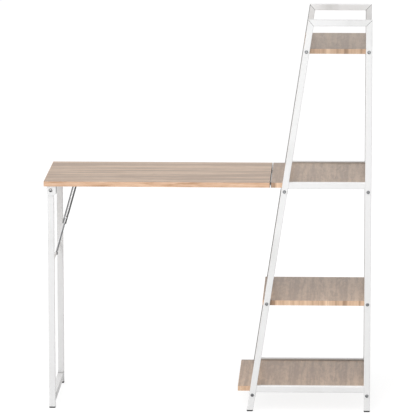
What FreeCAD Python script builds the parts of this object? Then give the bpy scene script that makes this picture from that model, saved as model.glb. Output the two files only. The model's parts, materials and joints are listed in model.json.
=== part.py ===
import FreeCAD, Part
import math
import os
from FreeCAD import Vector

os.makedirs("parts", exist_ok=True)

# Folding computer desk: a ladder shelf with four boards carries one end of a hinged desktop,
# and a folding leg frame with a jointed stay carries the other end.
# Millimetres. X runs along the desk to the shelf, Y from front to back, Z up from the floor.
# The origin is on the floor under the middle of the whole desk.

# Overall sizes
overall_height = 1280.0
frame_depth = 440.0
desktop_length = 730.0
seam_gap = 3.0

# Shelf ladder: its width over the tubes at the floor, and how far the slanted leg leans in per mm of height
ladder_foot_width = 400.0
ladder_lean = 0.153
tube_side = 20.0
tube_corner = 1.6
tube_wall = 1.2
rail_lip = 4.0
end_plate_thickness = 3.0

# Boards: heights of their top faces, and how far each reaches past the slanted leg's outer face
board_thickness = 16.0
bottom_shelf_height = 80.0
middle_shelf_height = 364.0
desk_height = 750.0
top_shelf_drop = 95.0
bottom_shelf_overhang = 41.25
middle_shelf_overhang = 4.7
desk_shelf_overhang = 37.75
top_shelf_overhang = 0.3
board_end_inset = 1.0
board_side_gap = 0.2
edge_band_thickness = 1.0

# Folding leg frame
leg_inset = 22.0
leg_frame_depth = 388.0
leg_pivot_drop = 13.0
leg_rail_height = 30.0
stay_rod_drop = 244.0
stay_rod_radius = 4.0
leg_cap_depth = 14.0

# Feet
foot_pad_height = 5.0
foot_plug_height = 12.0
foot_pad_corner = 1.5

# Leg brackets under the desktop
bracket_sheet = 2.0
bracket_reach_out = 12.0
bracket_reach_in = 18.0
bracket_height = 30.0
bracket_corner = 7.0
bracket_flange = 26.0
bracket_screw_spread = 15.0
ear_gap = 0.4

# Folding stay
stay_pivot_reach = 69.0
stay_pivot_drop = 12.0
lower_arm_length = 125.0
channel_width = 14.0
channel_sheet = 1.5
channel_depth = 6.5
channel_tail = 21.0
channel_cutback = 14.0
channel_bend_radius = 3.0
channel_tab_radius = 5.5
lower_arm_width = 8.0
lower_arm_thickness = 3.0
eye_radius = 7.0
arm_side_gap = 0.2
rod_side_gap = 0.3
stay_bracket_length = 34.0
stay_bracket_width = 40.0
stay_screw_inset = 5.8
stay_ear_gap = 0.7
stay_ear_width = 16.0

# Seam hinges
hinge_spread = 240.0
hinge_length = 60.0
hinge_axis_reach = 11.0
hinge_axis_drop = 4.0
knuckle_radius = 3.7
knuckle_gap = 0.2
hinge_pin_radius = 2.0
hinge_sheet = 1.8
hinge_screw_spread = 40.0
fixed_leaf_width = 19.0
moving_leaf_width = 45.0
moving_screw_reach = 33.4
knuckle_clearance = 0.4
leaf_root_reach = 1.5

# Fasteners
bolt_radius = 3.0
bolt_length = 35.0
bolt_head_radius = 5.5
bolt_head_height = 3.2
bolt_rim_height = 0.8
bolt_head_bevel = 2.3
bolt_socket = 4.0
bolt_socket_depth = 2.0
pivot_head_radius = 6.0
pivot_head_height = 3.5
nut_across_flats = 10.0
nut_height = 5.0
insert_radius = 5.0
insert_length = 13.0
rivet_radius = 2.5
rivet_head_radius = 4.2
rivet_head_height = 1.8
rivet_crown_radius = 2.3
screw_radius = 1.8
screw_head_radius = 3.6
screw_head_height = 2.2
screw_crown_radius = 2.2
screw_head_recess = 0.2
screw_bite = 11.0
shelf_screw_offset = 120.0
bolt_hole_clearance = 0.2
thread_clearance = 0.05
running_clearance = 0.05

# Places worked out from the sizes above
top_shelf_height = overall_height - top_shelf_drop
ladder_desk_width = ladder_foot_width - ladder_lean * desk_height
overall_length = desktop_length + seam_gap + desk_shelf_overhang + ladder_desk_width
x_left = -overall_length / 2
x_right = overall_length / 2
x_seam = x_left + desktop_length
x_board_end = x_right - board_end_inset
y_front = -frame_depth / 2
y_inner = frame_depth / 2 - tube_side
desk_underside = desk_height - board_thickness
x_leg = x_left + leg_inset
z_leg_pivot = desk_underside - leg_pivot_drop
z_stay_rod = z_leg_pivot - stay_rod_drop
x_stay_pivot = x_leg + stay_pivot_reach
z_stay_pivot = desk_underside - stay_pivot_drop
x_hinge = x_seam + hinge_axis_reach
z_hinge = desk_underside - hinge_axis_drop
through = 1.0
same_place = 0.05


def box(x0, x1, y0, y1, z0, z1):
    """Block between two corners, with the ends along Y in either order."""
    low, high = sorted((y0, y1))
    return Part.makeBox(x1 - x0, high - low, z1 - z0, Vector(x0, low, z0))


def prism_y(points, y0, y1):
    """Outline drawn in X and Z, drawn out along Y."""
    low, high = sorted((y0, y1))
    corners = [Vector(x, low, z) for x, z in points]
    outline = Part.makePolygon(corners + corners[:1])
    return Part.Face(outline).extrude(Vector(0, high - low, 0))


def rod_y(radius, x, z, y0, y1):
    """Round bar along Y, its ends given in either order."""
    low, high = sorted((y0, y1))
    return Part.makeCylinder(radius, high - low, Vector(x, low, z), Vector(0, 1, 0))


def rod_z(radius, x, y, z0, z1):
    """Round bar along Z."""
    return Part.makeCylinder(radius, z1 - z0, Vector(x, y, z0), Vector(0, 0, 1))


def turned(profile, place, axis):
    """Half section of (radius, height) points turned about an axis through place."""
    corners = [Vector(radius, 0, height) for radius, height in profile]
    section = Part.Face(Part.makePolygon(corners + corners[:1]))
    solid = section.revolve(Vector(0, 0, 0), Vector(0, 0, 1), 360)
    solid.Placement = FreeCAD.Placement(place, FreeCAD.Rotation(Vector(0, 0, 1), axis))
    return solid


def joined(solids):
    """One solid from several that overlap or share a face."""
    return solids[0].fuse(solids[1:]).removeSplitter()


def rounded(solid, radius, least_length):
    """The solid with every edge longer than this rounded: the long corners of a tube."""
    return solid.makeFillet(radius, [edge for edge in solid.Edges if edge.Length > least_length])


def save(name, solids):
    """Write one node: a solid, or a group of separate solids."""
    shape = Part.makeCompound(solids) if len(solids) > 1 else solids[0]
    shape.exportStep("parts/" + name + ".step")


# Slanted leg of the ladder

def slant_x(z, inward):
    """X at height z of the line that lies inward of the slanted leg's outer face."""
    return x_right - ladder_foot_width + ladder_lean * z + inward * math.hypot(1.0, ladder_lean)


def ladder_bolt_places():
    """X and Z of the bolts of one ladder side: two at each board."""
    heights = [
        bottom_shelf_height - board_thickness - tube_side / 2,
        middle_shelf_height - board_thickness / 2,
        desk_underside - tube_side / 2,
        top_shelf_height - board_thickness / 2,
    ]
    places = []
    for z in heights:
        places.append((slant_x(z, tube_side / 2), z))
        places.append((x_right - tube_side / 2, z))
    return places


def ladder_tube(outline, hollow, y0):
    """Square tube from its outline and its hollow, both drawn from the front."""
    tube = rounded(prism_y(outline, y0, y0 + tube_side), tube_corner, 2 * tube_side)
    tube = tube.cut(prism_y(hollow, y0 + tube_wall, y0 + tube_side - tube_wall))
    hole = bolt_radius + bolt_hole_clearance
    for x, z in ladder_bolt_places():
        tube = tube.cut(rod_y(hole, x, z, y0 - through, y0 + tube_side + through))
    return tube


def slanted_point(inward, z):
    """Point at height z on the line that lies inward of the slanted leg's outer face."""
    return slant_x(z, inward), z


def mitre_point(inward):
    """Point on the mitre between the slanted leg and the top rail."""
    return slanted_point(inward, overall_height - inward)


def slanted_leg(y0):
    """Leaning tube, cut level at the foot and mitred at the top."""
    inner = tube_side - tube_wall
    low = foot_pad_height - through
    outline = [slanted_point(0, foot_pad_height), slanted_point(tube_side, foot_pad_height),
               mitre_point(tube_side), mitre_point(0)]
    hollow = [slanted_point(tube_wall, low), slanted_point(inner, low),
              mitre_point(inner), mitre_point(tube_wall)]
    return ladder_tube(outline, hollow, y0)


def upright(y0):
    """Vertical tube, mitred at the top."""
    def side(inward, z):
        return x_right - inward, z

    inner = tube_side - tube_wall
    low = foot_pad_height - through
    outline = [side(tube_side, foot_pad_height), side(0, foot_pad_height), side(0, overall_height),
               side(tube_side, overall_height - tube_side)]
    hollow = [side(inner, low), side(tube_wall, low), side(tube_wall, overall_height - tube_wall),
              side(inner, overall_height - inner)]
    return ladder_tube(outline, hollow, y0)


def top_rail(y0):
    """Rail across the top, mitred at both ends."""
    def quad(low, high):
        z_low = overall_height - low
        z_high = overall_height - high
        return [(slant_x(z_low, low), z_low), (x_right - low, z_low),
                (x_right - high, z_high), (slant_x(z_high, high), z_high)]

    return ladder_tube(quad(tube_side, 0), quad(tube_side - tube_wall, tube_wall), y0)


def board_rail(board_top, y0):
    """Rail in front of or behind a board, its lip standing above the board's top."""
    def quad(z_low, z_high):
        right = x_right - tube_side
        return [(slant_x(z_low, tube_side), z_low), (right, z_low),
                (right, z_high), (slant_x(z_high, tube_side), z_high)]

    z_high = board_top + rail_lip
    z_low = z_high - tube_side
    return ladder_tube(quad(z_low, z_high), quad(z_low + tube_wall, z_high - tube_wall), y0)


def depth_rail(x, underside):
    """Tube from front to back under a board, with a tapped plate in each end."""
    half = tube_side / 2
    inner = half - tube_wall
    z = underside - half
    tube = rounded(box(x - half, x + half, -y_inner, y_inner, z - half, z + half), tube_corner, 2 * tube_side)
    plate = y_inner - end_plate_thickness
    rail = tube.cut(box(x - inner, x + inner, -plate, plate, z - inner, z + inner))
    rail = rail.cut(rod_y(bolt_radius + thread_clearance, x, z, -y_inner - through, y_inner + through))
    hole = screw_radius + thread_clearance
    for y in (-shelf_screw_offset, shelf_screw_offset):
        rail = rail.cut(rod_z(hole, x, y, z - half - through, z + half + through))
    return rail


def build_ladder():
    """The welded front and back ladders and the four rails bolted between them."""
    for side, y0 in (("front", y_front), ("back", y_inner)):
        save(side + "_slanted_leg", [slanted_leg(y0)])
        save(side + "_upright", [upright(y0)])
        save(side + "_top_rail", [top_rail(y0)])
        save(side + "_desk_rail", [board_rail(desk_height, y0)])
        save(side + "_bottom_rail", [board_rail(bottom_shelf_height, y0)])
    for level, board_top in (("desk", desk_height), ("bottom", bottom_shelf_height)):
        underside = board_top - board_thickness
        left, right = depth_rail_places(underside)
        save("left_" + level + "_depth_rail", [depth_rail(left, underside)])
        save("right_" + level + "_depth_rail", [depth_rail(right, underside)])


def depth_rail_places(underside):
    """X of the two rails that lie under a board."""
    return slant_x(underside - tube_side / 2, tube_side / 2), x_right - tube_side / 2


# Boards

def hinge_centres():
    """Y of the two hinges along the seam."""
    return (-hinge_spread / 2, hinge_spread / 2)


def hinge_screw_places(x):
    """X and Y of two screws in each hinge, on a line at x."""
    half = hinge_screw_spread / 2
    return [(x, y + shift) for y in hinge_centres() for shift in (-half, half)]


def fixed_leaf_screws():
    """X and Y of the screws that hold the hinges to the fixed board."""
    x = x_hinge + knuckle_radius + knuckle_clearance + fixed_leaf_width / 2
    return hinge_screw_places(x)


def moving_leaf_screws():
    """X and Y of the screws that hold the hinges to the desktop."""
    x = x_hinge - knuckle_radius - knuckle_clearance - moving_screw_reach
    return hinge_screw_places(x)


def leg_bracket_screws():
    """X and Y of the screws that hold the leg brackets."""
    middle = x_leg + (bracket_reach_in - bracket_reach_out) / 2
    half = bracket_screw_spread / 2
    y = leg_frame_depth / 2 - tube_side - ear_gap - bracket_sheet - bracket_flange / 2
    return [(middle + shift, side * y) for side in (-1, 1) for shift in (-half, half)]


def stay_bracket_screws():
    """X and Y of the screws that hold the stay's bracket."""
    y = stay_bracket_width / 2 - stay_screw_inset
    return [(x_stay_pivot, -y), (x_stay_pivot, y)]


def rail_screws(underside):
    """X and Y of the screws that come up through the rails under a board."""
    offsets = (-shelf_screw_offset, shelf_screw_offset)
    return [(x, y) for x in depth_rail_places(underside) for y in offsets]


def edge_drills(x, z, half):
    """Holes in both long edges of a board for a threaded insert and for the bolt's end beyond it."""
    bolt_end = half + tube_side - bolt_length - through
    drills = []
    for side in (-1, 1):
        mouth = side * (half + through)
        drills.append(rod_y(insert_radius + thread_clearance, x, z, mouth, side * (half - insert_length)))
        drills.append(rod_y(bolt_radius + bolt_hole_clearance, x, z, mouth, side * bolt_end))
    return drills


def board(x0, x1, top, edge_bolts, screws):
    """Core and edge band of one board, drilled for its edge bolts and its screws from below."""
    half = y_inner - board_side_gap
    band = edge_band_thickness
    outer = box(x0, x1, -half, half, top - board_thickness, top)
    core = box(x0 + band, x1 - band, -half + band, half - band, top - board_thickness, top)
    ring = outer.cut(core)
    drills = [drill for x, z in edge_bolts for drill in edge_drills(x, z, half)]
    underside = top - board_thickness
    pilot = screw_radius + thread_clearance
    drills += [rod_z(pilot, x, y, underside - through, underside + screw_bite) for x, y in screws]
    for drill in drills:
        core = core.cut(drill)
        ring = ring.cut(drill)
    return core, ring


def edge_bolts_at(board_top):
    """Bolts of one ladder side that run into the edge of the board with this top."""
    middle = board_top - board_thickness / 2
    return [(x, z) for x, z in ladder_bolt_places() if abs(z - middle) < same_place]


def build_boards():
    """Four shelf boards and the hinged desktop, each with its edge band."""
    bottom_underside = bottom_shelf_height - board_thickness
    shelf_boards = {
        "top_shelf": (top_shelf_overhang, top_shelf_height, edge_bolts_at(top_shelf_height), []),
        "desk_shelf": (desk_shelf_overhang, desk_height, [],
                       rail_screws(desk_underside) + fixed_leaf_screws()),
        "middle_shelf": (middle_shelf_overhang, middle_shelf_height,
                         edge_bolts_at(middle_shelf_height), []),
        "bottom_shelf": (bottom_shelf_overhang, bottom_shelf_height, [], rail_screws(bottom_underside)),
    }
    for name, (overhang, top, edge_bolts, screws) in shelf_boards.items():
        core, ring = board(slant_x(top, 0) - overhang, x_board_end, top, edge_bolts, screws)
        save(name, [core])
        save(name + "_edge_band", [ring])
    screws = moving_leaf_screws() + leg_bracket_screws() + stay_bracket_screws()
    core, ring = board(x_left, x_seam, desk_height, [], screws)
    save("desktop", [core])
    save("desktop_edge_band", [ring])


# Fasteners

def hexagon(x, z, across_flats):
    """Six corners, as X and Z, of a hexagon of this width."""
    radius = across_flats / math.sqrt(3)
    turns = [math.pi * step / 3 for step in range(6)]
    return [(x + radius * math.cos(turn), z + radius * math.sin(turn)) for turn in turns]


def button_bolt(x, z, y_face, side, length, head_radius, head_height):
    """Domed bolt with a hexagon socket; side is -1 on the front and 1 on the back."""
    profile = [(0, -length), (bolt_radius, -length), (bolt_radius, 0), (head_radius, 0),
               (head_radius, bolt_rim_height), (head_radius - bolt_head_bevel, head_height), (0, head_height)]
    bolt = turned(profile, Vector(x, y_face, z), Vector(0, side, 0))
    bottom = y_face + side * (head_height - bolt_socket_depth)
    mouth = y_face + side * (head_height + through)
    return bolt.cut(prism_y(hexagon(x, z, bolt_socket), bottom, mouth))


def hex_nut(x, z, y0, y1):
    """Hexagon nut along Y with its threaded hole."""
    nut = prism_y(hexagon(x, z, nut_across_flats), y0, y1)
    middle = (y0 + y1) / 2
    reach = nut_height / 2 + through
    return nut.cut(rod_y(bolt_radius + thread_clearance, x, z, middle - reach, middle + reach))


def pan_screw(x, y, z_face, length):
    """Screw driven upward from the face at z_face, its low domed head below."""
    profile = [(0, -screw_head_height), (screw_crown_radius, -screw_head_height), (screw_head_radius, 0),
               (screw_radius, 0), (screw_radius, length - screw_radius), (0, length)]
    return turned(profile, Vector(x, y, z_face), Vector(0, 0, 1))


def flat_screw(x, y, z_face, length):
    """Countersunk screw driven upward, its head flush with the face at z_face."""
    cone = screw_head_radius - screw_radius
    recess = screw_head_recess
    profile = [(0, recess), (screw_head_radius - recess, recess), (screw_radius, cone),
               (screw_radius, length - screw_radius), (0, length)]
    return turned(profile, Vector(x, y, z_face), Vector(0, 0, 1))


def countersink(x, y, z_face):
    """Cone and hole that a countersunk screw sits in."""
    cone = screw_head_radius - screw_radius
    mouth = screw_head_radius + thread_clearance
    hole = screw_radius + thread_clearance
    end = hinge_sheet + through
    profile = [(0, -through), (mouth, -through), (mouth, 0), (hole, cone), (hole, end), (0, end)]
    return turned(profile, Vector(x, y, z_face), Vector(0, 0, 1))


def rivet(x, z, y0, y1):
    """Rivet along Y between two faces, with a domed head at each end."""
    grip = y1 - y0
    crown = rivet_head_height
    profile = [(0, -crown), (rivet_crown_radius, -crown), (rivet_head_radius, 0), (rivet_radius, 0),
               (rivet_radius, grip), (rivet_head_radius, grip), (rivet_crown_radius, grip + crown),
               (0, grip + crown)]
    return turned(profile, Vector(x, y0, z), Vector(0, 1, 0))


def build_fasteners():
    """Bolts through the ladders, threaded inserts in the boards, and screws into the boards."""
    for side_name, side in (("front", -1), ("back", 1)):
        face = side * frame_depth / 2
        bolts = [button_bolt(x, z, face, side, bolt_length, bolt_head_radius, bolt_head_height)
                 for x, z in ladder_bolt_places()]
        save(side_name + "_frame_bolts", bolts)
    inserts = []
    for board_top in (middle_shelf_height, top_shelf_height):
        for x, z in edge_bolts_at(board_top):
            for side in (-1, 1):
                face = side * (y_inner - board_side_gap)
                sleeve = rod_y(insert_radius, x, z, face, face - side * insert_length)
                bore = rod_y(bolt_radius + thread_clearance, x, z, face + side * through,
                             face - side * (insert_length + through))
                inserts.append(sleeve.cut(bore))
    save("shelf_threaded_inserts", inserts)
    screws = []
    for board_top in (desk_height, bottom_shelf_height):
        underside = board_top - board_thickness
        length = tube_side + screw_bite - through
        screws += [pan_screw(x, y, underside - tube_side, length) for x, y in rail_screws(underside)]
    save("shelf_board_screws", screws)


# Feet

def foot(x_of, y0):
    """Plastic foot: a pad under the tube and a plug up inside it. x_of gives X from inward and z."""
    pad = [(x_of(0, 0), 0), (x_of(tube_side, 0), 0),
           (x_of(tube_side, foot_pad_height), foot_pad_height), (x_of(0, foot_pad_height), foot_pad_height)]
    inner = tube_wall + running_clearance
    high = foot_pad_height + foot_plug_height
    plug = [(x_of(inner, foot_pad_height), foot_pad_height),
            (x_of(tube_side - inner, foot_pad_height), foot_pad_height),
            (x_of(tube_side - inner, high), high), (x_of(inner, high), high)]
    pad_solid = prism_y(pad, y0, y0 + tube_side)
    floor_edges = [edge for edge in pad_solid.Edges if edge.BoundBox.ZMax < same_place]
    pad_solid = pad_solid.makeChamfer(foot_pad_corner, floor_edges)
    return joined([pad_solid, prism_y(plug, y0 + inner, y0 + tube_side - inner)])


def build_feet():
    """Feet of the ladder and of the folding leg."""
    ladder_feet = []
    for y0 in (y_front, y_inner):
        ladder_feet.append(foot(lambda inward, z: slant_x(z, inward), y0))
        ladder_feet.append(foot(lambda inward, z: x_right - tube_side + inward, y0))
    save("ladder_feet", ladder_feet)
    leg_feet = [foot(lambda inward, z: x_leg - tube_side / 2 + inward, y0) for y0 in leg_tube_fronts()]
    save("leg_feet", leg_feet)


# Folding leg frame

def leg_tube_fronts():
    """Y of the front faces of the two leg tubes."""
    return (-leg_frame_depth / 2, leg_frame_depth / 2 - tube_side)


def leg_tube(y0):
    """Tube with its top end rounded about the pivot, so that it turns under the bracket."""
    half = tube_side / 2
    inner = half - tube_wall
    y1 = y0 + tube_side
    straight = box(x_leg - half, x_leg + half, y0, y1, foot_pad_height, z_leg_pivot)
    outer = joined([straight, rod_y(half, x_leg, z_leg_pivot, y0, y1)])
    outer = rounded(outer, tube_corner, 2 * tube_side)
    hollow = box(x_leg - inner, x_leg + inner, y0 + tube_wall, y1 - tube_wall,
                 foot_pad_height - through, z_leg_pivot)
    opening = box(x_leg - half - through, x_leg + half + through, y0 + tube_wall, y1 - tube_wall,
                  z_leg_pivot, z_leg_pivot + half + through)
    tube = outer.cut(hollow).cut(opening)
    return tube.cut(rod_y(bolt_radius + running_clearance, x_leg, z_leg_pivot, y0 - through, y1 + through))


def leg_cap(y0):
    """Plastic plug that closes the rounded top end, with the bore that the pivot bolt turns in."""
    half = tube_side / 2
    inner = half - tube_wall - running_clearance
    y_low = y0 + tube_wall + running_clearance
    y_high = y0 + tube_side - tube_wall - running_clearance
    dome = rod_y(half, x_leg, z_leg_pivot, y_low, y_high)
    dome = dome.common(box(x_leg - half, x_leg + half, y_low, y_high, z_leg_pivot, z_leg_pivot + half))
    plug = box(x_leg - inner, x_leg + inner, y_low, y_high, z_leg_pivot - leg_cap_depth, z_leg_pivot)
    cap = joined([dome, plug])
    bore = bolt_radius + running_clearance
    return cap.cut(rod_y(bore, x_leg, z_leg_pivot, y0 - through, y0 + tube_side + through))


def leg_cross_rail():
    """Tube between the two leg tubes near the floor."""
    half = tube_side / 2
    inner = half - tube_wall
    reach = leg_frame_depth / 2 - tube_side
    tube = box(x_leg - half, x_leg + half, -reach, reach, leg_rail_height - half, leg_rail_height + half)
    tube = rounded(tube, tube_corner, 2 * tube_side)
    return tube.cut(box(x_leg - inner, x_leg + inner, -reach, reach,
                        leg_rail_height - inner, leg_rail_height + inner))


def stay_rod_halves():
    """Thin rod between the leg tubes, parted at the stay so that the stay's eye can turn free."""
    reach = leg_frame_depth / 2 - tube_side
    near = lower_arm_thickness / 2 + rod_side_gap
    return [rod_y(stay_rod_radius, x_leg, z_stay_rod, -reach, -near),
            rod_y(stay_rod_radius, x_leg, z_stay_rod, near, reach)]


def leg_bracket(side):
    """Bent sheet bracket: a plate under the desktop, an ear each side of the leg and a screw flange."""
    outer_ear = leg_frame_depth / 2 + ear_gap
    inner_ear = leg_frame_depth / 2 - tube_side - ear_gap - bracket_sheet
    x0 = x_leg - bracket_reach_out
    x1 = x_leg + bracket_reach_in
    low = desk_underside - bracket_height
    outer_end = outer_ear + bracket_sheet
    solids = [box(x0, x1, side * (inner_ear - bracket_flange), side * outer_end,
                  desk_underside - bracket_sheet, desk_underside)]
    for ear in (inner_ear, outer_ear):
        solids.append(box(x0, x1, side * ear, side * (ear + bracket_sheet), low, desk_underside))
    bracket = joined(solids)
    corners = [edge for edge in bracket.Edges
               if edge.BoundBox.ZMax < low + same_place and edge.BoundBox.XLength < same_place]
    bracket = bracket.makeFillet(bracket_corner, corners)
    bracket = bracket.cut(rod_y(bolt_radius + thread_clearance, x_leg, z_leg_pivot,
                                side * (inner_ear - through), side * (outer_end + through)))
    for x, y in leg_bracket_screws():
        bracket = bracket.cut(rod_z(screw_radius + thread_clearance, x, y,
                                    desk_underside - bracket_sheet - through, desk_underside + through))
    return bracket


def build_leg_frame():
    """Leg tubes, their rail and rod, and the brackets and bolts that they turn on."""
    front, back = leg_tube_fronts()
    save("front_leg_tube", [leg_tube(front)])
    save("back_leg_tube", [leg_tube(back)])
    save("leg_cross_rail", [leg_cross_rail()])
    save("leg_top_caps", [leg_cap(front), leg_cap(back)])
    save("stay_rod", stay_rod_halves())
    save("front_leg_bracket", [leg_bracket(-1)])
    save("back_leg_bracket", [leg_bracket(1)])
    outer_face = leg_frame_depth / 2 + ear_gap + bracket_sheet
    inner_face = leg_frame_depth / 2 - tube_side - ear_gap - bracket_sheet
    length = outer_face - inner_face + nut_height + through
    bolts = []
    nuts = []
    for side in (-1, 1):
        bolts.append(button_bolt(x_leg, z_leg_pivot, side * outer_face, side, length,
                                 pivot_head_radius, pivot_head_height))
        nuts.append(hex_nut(x_leg, z_leg_pivot, side * inner_face, side * (inner_face - nut_height)))
    save("leg_pivot_bolts", bolts)
    save("leg_pivot_nuts", nuts)
    face = desk_underside - bracket_sheet
    length = screw_bite + bracket_sheet - through
    save("leg_bracket_screws", [pan_screw(x, y, face, length) for x, y in leg_bracket_screws()])


# Folding stay: a pressed channel and a flat arm, riveted at the knee. Each arm is drawn along X
# from its first pivot, then turned into its line between the desktop and the leg.

def strip(length, half_width, end_radius, y0, y1):
    """Flat bar along X from its pivot at 0, with a round end at each pivot."""
    bar = box(0, length, y0, y1, -half_width, half_width)
    return joined([bar, rod_y(half_width, 0, 0, y0, y1), rod_y(end_radius, length, 0, y0, y1)])


def stay_line():
    """Unit direction from the stay's pivot to the leg rod, its angle, and the upper arm's length."""
    dx = x_leg - x_stay_pivot
    dz = z_stay_rod - z_stay_pivot
    whole = math.hypot(dx, dz)
    return dx / whole, dz / whole, whole - lower_arm_length


def set_in_line(shape, distance):
    """Turn a bar drawn along X into the stay's line, this far from the stay's pivot."""
    dx, dz, _ = stay_line()
    angle = math.degrees(math.atan2(-dz, dx))
    place = Vector(x_stay_pivot + dx * distance, 0, z_stay_pivot + dz * distance)
    turned_shape = shape.copy()
    turned_shape.Placement = FreeCAD.Placement(place, FreeCAD.Rotation(Vector(0, 1, 0), angle))
    return turned_shape


def channel_faces():
    """Y of the front of the channel's web, of its back, and of the ends of its flanges."""
    web_back = -lower_arm_thickness / 2 - arm_side_gap
    web_front = web_back - channel_sheet
    return web_front, web_back, web_front + channel_depth


def channel(length):
    """Pressed channel along X: its web in front, its flanges running back, both bends rounded."""
    web_front, web_back, flange_end = channel_faces()
    half = channel_width / 2
    inner = half - channel_sheet

    def bends(solid, face):
        return [edge for edge in solid.Edges
                if edge.BoundBox.XLength > length / 2 and edge.BoundBox.YMax < face + same_place]

    outside = box(0, length, web_front, flange_end, -half, half)
    outside = outside.makeFillet(channel_bend_radius, bends(outside, web_front))
    inside = box(-through, length + through, web_back, flange_end + through, -inner, inner)
    inside = inside.makeFillet(channel_bend_radius - channel_sheet, bends(inside, web_back))
    return outside.cut(inside)


def upper_arm():
    """Channel whose upper flange is cut back at the knee, so that the lower arm swings out one way."""
    _, _, length = stay_line()
    web_front, web_back, flange_end = channel_faces()
    half = channel_width / 2
    end = length + channel_tail
    tab = rod_y(channel_tab_radius, 0, 0, web_front, web_back)
    arm = joined([channel(end), tab])
    arm = arm.cut(box(length - channel_cutback, end + through, web_back, flange_end + through,
                      half - channel_bend_radius, half + through))
    for x in (0, length):
        arm = arm.cut(rod_y(rivet_radius + running_clearance, x, 0, web_front - through, web_back + through))
    return set_in_line(arm, 0)


def lower_arm():
    """Flat arm from the knee to the eye on the leg's rod."""
    _, _, length = stay_line()
    half = lower_arm_thickness / 2
    arm = strip(lower_arm_length, lower_arm_width / 2, eye_radius, -half, half)
    bores = ((0, rivet_radius), (lower_arm_length, stay_rod_radius))
    for x, radius in bores:
        arm = arm.cut(rod_y(radius + running_clearance, x, 0, -half - through, half + through))
    return set_in_line(arm, length)


def stay_bracket():
    """Small bent bracket under the desktop with two ears, one each side of the channel."""
    web_front, _, flange_end = channel_faces()
    plate_top = desk_underside
    plate_low = desk_underside - channel_sheet
    half = stay_bracket_width / 2
    plate = box(x_stay_pivot - stay_bracket_length / 2, x_stay_pivot + stay_bracket_length / 2,
                -half, half, plate_low, plate_top)
    solids = [plate]
    ear_half = stay_ear_width / 2
    front_ear = web_front - stay_ear_gap - channel_sheet
    for y0 in (front_ear, flange_end + stay_ear_gap):
        y1 = y0 + channel_sheet
        solids.append(box(x_stay_pivot - ear_half, x_stay_pivot + ear_half, y0, y1, z_stay_pivot, plate_top))
        solids.append(rod_y(ear_half, x_stay_pivot, z_stay_pivot, y0, y1))
    bracket = joined(solids)
    bracket = bracket.cut(rod_y(rivet_radius + thread_clearance, x_stay_pivot, z_stay_pivot, -half, half))
    hole = screw_radius + thread_clearance
    for x, y in stay_bracket_screws():
        bracket = bracket.cut(rod_z(hole, x, y, plate_low - through, plate_top + through))
    return bracket


def build_stay():
    """Bracket, channel, flat arm and their rivets."""
    web_front, _, flange_end = channel_faces()
    dx, dz, upper_length = stay_line()
    save("stay_bracket", [stay_bracket()])
    save("stay_upper_arm", [upper_arm()])
    save("stay_lower_arm", [lower_arm()])
    ear_front = web_front - stay_ear_gap - channel_sheet
    ear_back = flange_end + stay_ear_gap + channel_sheet
    save("stay_pivot_rivet", [rivet(x_stay_pivot, z_stay_pivot, ear_front, ear_back)])
    knee_x = x_stay_pivot + dx * upper_length
    knee_z = z_stay_pivot + dz * upper_length
    arm_back = lower_arm_thickness / 2 + arm_side_gap
    save("stay_knee_rivet", [rivet(knee_x, knee_z, web_front, arm_back)])
    half = lower_arm_thickness / 2
    save("stay_eye_pin", [rod_y(stay_rod_radius, x_leg, z_stay_rod, -half, half)])
    face = desk_underside - channel_sheet
    screw_length = screw_bite + channel_sheet - through
    save("stay_bracket_screws", [pan_screw(x, y, face, screw_length) for x, y in stay_bracket_screws()])


# Seam hinges

def knuckle_ends(y):
    """Y ranges of the three knuckles of the hinge centred on y."""
    third = hinge_length / 3
    low = y - hinge_length / 2
    return [(low, low + third), (low + third, low + 2 * third), (low + 2 * third, low + hinge_length)]


def hinge_leaf(y, side, own):
    """Leaf on one side of the hinge axis with its knuckles; side is -1 to the desktop."""
    reach = moving_leaf_width if side < 0 else fixed_leaf_width
    clear = knuckle_radius + knuckle_clearance
    z0 = desk_underside - hinge_sheet
    x0, x1 = sorted((x_hinge + side * clear, x_hinge + side * (clear + reach)))
    solids = [box(x0, x1, y - hinge_length / 2, y + hinge_length / 2, z0, desk_underside)]
    for index, (y0, y1) in enumerate(knuckle_ends(y)):
        if index not in own:
            continue
        y0 += knuckle_gap / 2
        y1 -= knuckle_gap / 2
        tab = sorted((x_hinge + side * leaf_root_reach, x_hinge + side * (clear + through)))
        solids.append(box(tab[0], tab[1], y0, y1, z0, desk_underside))
        solids.append(rod_y(knuckle_radius, x_hinge, z_hinge, y0, y1))
    leaf = joined(solids)
    bore = hinge_pin_radius + running_clearance
    return leaf.cut(rod_y(bore, x_hinge, z_hinge, y - hinge_length, y + hinge_length))


def build_hinges():
    """Two hinges whose axis lies just past the seam, under the fixed board."""
    face = desk_underside - hinge_sheet
    fixed_screws = fixed_leaf_screws()
    moving_screws = moving_leaf_screws()
    fixed = []
    moving = []
    pins = []
    for y in hinge_centres():
        fixed_leaf = hinge_leaf(y, 1, (1,))
        moving_leaf = hinge_leaf(y, -1, (0, 2))
        for x, screw_y in fixed_screws:
            fixed_leaf = fixed_leaf.cut(countersink(x, screw_y, face))
        for x, screw_y in moving_screws:
            moving_leaf = moving_leaf.cut(countersink(x, screw_y, face))
        fixed.append(fixed_leaf)
        moving.append(moving_leaf)
        pins.append(rod_y(hinge_pin_radius, x_hinge, z_hinge, y - hinge_length / 2, y + hinge_length / 2))
    save("hinge_fixed_leaves", fixed)
    save("hinge_moving_leaves", moving)
    save("hinge_pins", pins)
    length = screw_bite + hinge_sheet - through
    save("hinge_fixed_screws", [flat_screw(x, y, face, length) for x, y in fixed_screws])
    save("hinge_moving_screws", [flat_screw(x, y, face, length) for x, y in moving_screws])


build_ladder()
build_boards()
build_fasteners()
build_feet()
build_leg_frame()
build_stay()
build_hinges()
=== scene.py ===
import json
import math

import bpy
from mathutils import Matrix, Vector


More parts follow.
